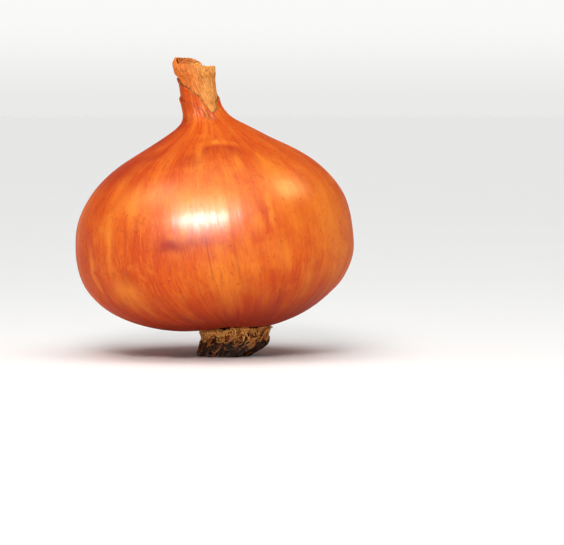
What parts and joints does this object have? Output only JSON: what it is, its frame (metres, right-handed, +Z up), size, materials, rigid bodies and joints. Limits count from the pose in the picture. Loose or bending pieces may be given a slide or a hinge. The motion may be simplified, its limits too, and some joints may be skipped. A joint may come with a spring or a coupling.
{
  "type": "onion",
  "caption": "Whole brown onion with papery skin, a dry neck and a trimmed root tuft that it stands on.",
  "frame": {"origin": "middle of the small flat spot under the root tuft, on the resting plane", "axes": "+Z up from the resting plane, -X the side the neck leans to, -Y the side where the neck's skin is torn"},
  "size_m": [0.0804, 0.0802, 0.0861],
  "materials": {
    "skin": "satin",
    "roots": "matte"
  },
  "bodies": {
    "root": {"bulb": "skin", "root_tuft": "roots"}
  },
  "joints": []
}
